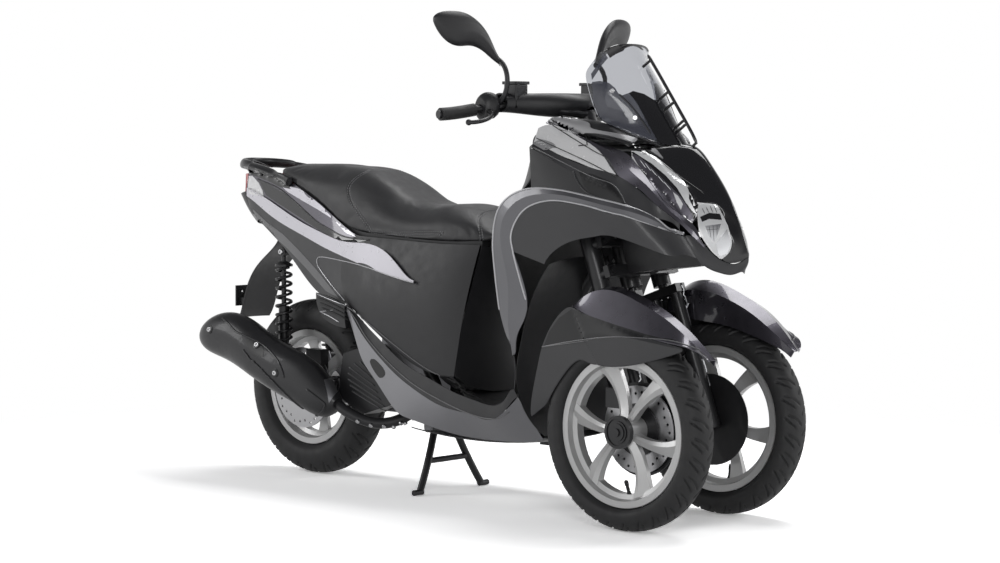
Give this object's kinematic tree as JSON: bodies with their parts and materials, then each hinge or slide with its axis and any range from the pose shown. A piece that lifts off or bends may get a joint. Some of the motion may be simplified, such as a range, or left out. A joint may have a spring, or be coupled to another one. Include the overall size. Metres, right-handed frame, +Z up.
{
  "type": "reverse trike",
  "caption": "Leaning scooter with two front wheels, step-through floor, smoked screen, padded seat and a covered rear drive unit.",
  "frame": {"origin": "on the ground under the middle of the bounding box", "axes": "+X forward, +Y to the rider's left, +Z up"},
  "size_m": [1.858, 0.7812, 1.2943],
  "materials": {
    "paint_anthracite": "glossy metallic",
    "paint_lilac_silver": "glossy metallic",
    "paint_grey": "satin metallic",
    "paint_black_gloss": "gloss",
    "plastic_black": "fine grain",
    "plastic_dark_grey": "fine grain",
    "lens_clear": "clear",
    "lens_red": "clear red",
    "screen_smoked": "smoked clear",
    "rim_silver": "silver paint",
    "tyre_black": "matte",
    "disc_steel": "brushed",
    "metal_black": "satin black",
    "metal_grey": "cast",
    "rubber_black": "ribbed",
    "seat_cover": "grained vinyl"
  },
  "bodies": {
    "chassis": {"main_frame": "metal_black", "linkage": "metal_black", "nose_tray": "plastic_black", "cheek_panels": "paint_anthracite", "headlamps": "lens_clear", "front_indicators": "lens_clear", "fairing_bands": "plastic_dark_grey", "inner_cowls": "plastic_black", "leg_strips": "paint_grey", "arch_panels": "plastic_dark_grey", "nose_cowl": "paint_black_gloss", "dash_cover": "plastic_black", "windscreen": "screen_smoked", "leg_shield": "plastic_black", "inner_fender": "plastic_black", "tail_upper_panels": "paint_anthracite", "tail_lower_panels": "plastic_dark_grey", "side_covers": "plastic_black", "tail_stripes": "paint_lilac_silver", "side_skirts": "paint_grey", "floorboard": "plastic_black", "belly_pan": "plastic_black", "storage_tub": "plastic_black", "tail_lamp": "lens_red", "grab_rail": "metal_black", "engine_block": "metal_grey", "drive_case": "metal_grey", "radiator_cover": "plastic_black", "swing_arm": "metal_grey", "rear_shocks": "metal_black", "muffler": "metal_black", "rear_mudguard": "plastic_black", "passenger_steps": "plastic_black"},
    "steering": {"handlebar": "metal_black", "grips": "rubber_black", "bar_cover": "plastic_black", "levers": "metal_black", "brake_reservoirs": "metal_black", "mirrors": "plastic_black"},
    "fork_left": {"fork_left": "metal_black", "fender_left": "paint_anthracite", "fender_flap_left": "plastic_dark_grey"},
    "fork_right": {"fork_right": "metal_black", "fender_right": "paint_anthracite", "fender_flap_right": "plastic_dark_grey"},
    "tie_rod": {"tie_rod": "disc_steel"},
    "wheel_front_left": {"front_rim_left": "rim_silver", "front_tyre_left": "tyre_black", "front_disc_left": "disc_steel"},
    "wheel_front_right": {"front_rim_right": "rim_silver", "front_tyre_right": "tyre_black", "front_disc_right": "disc_steel"},
    "wheel_rear": {"rear_rim": "rim_silver", "rear_tyre": "tyre_black", "rear_disc": "disc_steel"},
    "seat": {"seat_cushion": "seat_cover", "seat_pan": "plastic_black"},
    "centre_stand": {"centre_stand": "metal_black"},
    "side_stand": {"side_stand": "metal_black"}
  },
  "joints": [
    {"name": "steering", "type": "hinge", "parent": "chassis", "child": "steering", "pos_m": [0.45079, 0, 0.81382], "axis": [-0.342, 0, 0.9397], "range_deg": [-30, 30]},
    {"name": "fork_left_steer", "type": "hinge", "parent": "chassis", "child": "fork_left", "pos_m": [0.50893, 0.122, 0.65407], "axis": [-0.342, 0, 0.9397], "range_deg": [-30, 30]},
    {"name": "fork_right_steer", "type": "hinge", "parent": "chassis", "child": "fork_right", "pos_m": [0.50893, -0.122, 0.65407], "axis": [-0.342, 0, 0.9397], "range_deg": [-30, 30]},
    {"name": "tie_rod_pin", "type": "hinge", "parent": "steering", "child": "tie_rod", "pos_m": [0.47138, 0, 0.52334], "axis": [-0.342, 0, 0.9397], "range_deg": [-30, 30]},
    {"name": "wheel_front_left", "type": "hinge", "parent": "fork_left", "child": "wheel_front_left", "pos_m": [0.679, 0.1925, 0.25], "axis": [0, 1, 0], "continuous": true},
    {"name": "wheel_front_right", "type": "hinge", "parent": "fork_right", "child": "wheel_front_right", "pos_m": [0.679, -0.1925, 0.25], "axis": [0, 1, 0], "continuous": true},
    {"name": "wheel_rear", "type": "hinge", "parent": "chassis", "child": "wheel_rear", "pos_m": [-0.631, 0, 0.251], "axis": [0, 1, 0], "continuous": true},
    {"name": "seat_hinge", "type": "hinge", "parent": "chassis", "child": "seat", "pos_m": [0.147, 0, 0.69], "axis": [0, 1, 0], "range_deg": [0, 65]},
    {"name": "centre_stand_pivot", "type": "hinge", "parent": "chassis", "child": "centre_stand", "pos_m": [-0.133, 0, 0.176], "axis": [0, 1, 0], "range_deg": [0, 60]},
    {"name": "side_stand_pivot", "type": "hinge", "parent": "chassis", "child": "side_stand", "pos_m": [0.119, 0.15, 0.148], "axis": [0, 1, 0], "range_deg": [-55, 0]}
  ],
  "couplings": [
    {"joint": "fork_left_steer", "follows": "steering", "ratio": 1},
    {"joint": "fork_right_steer", "follows": "steering", "ratio": 1},
    {"joint": "tie_rod_pin", "follows": "steering", "ratio": -1}
  ]
}
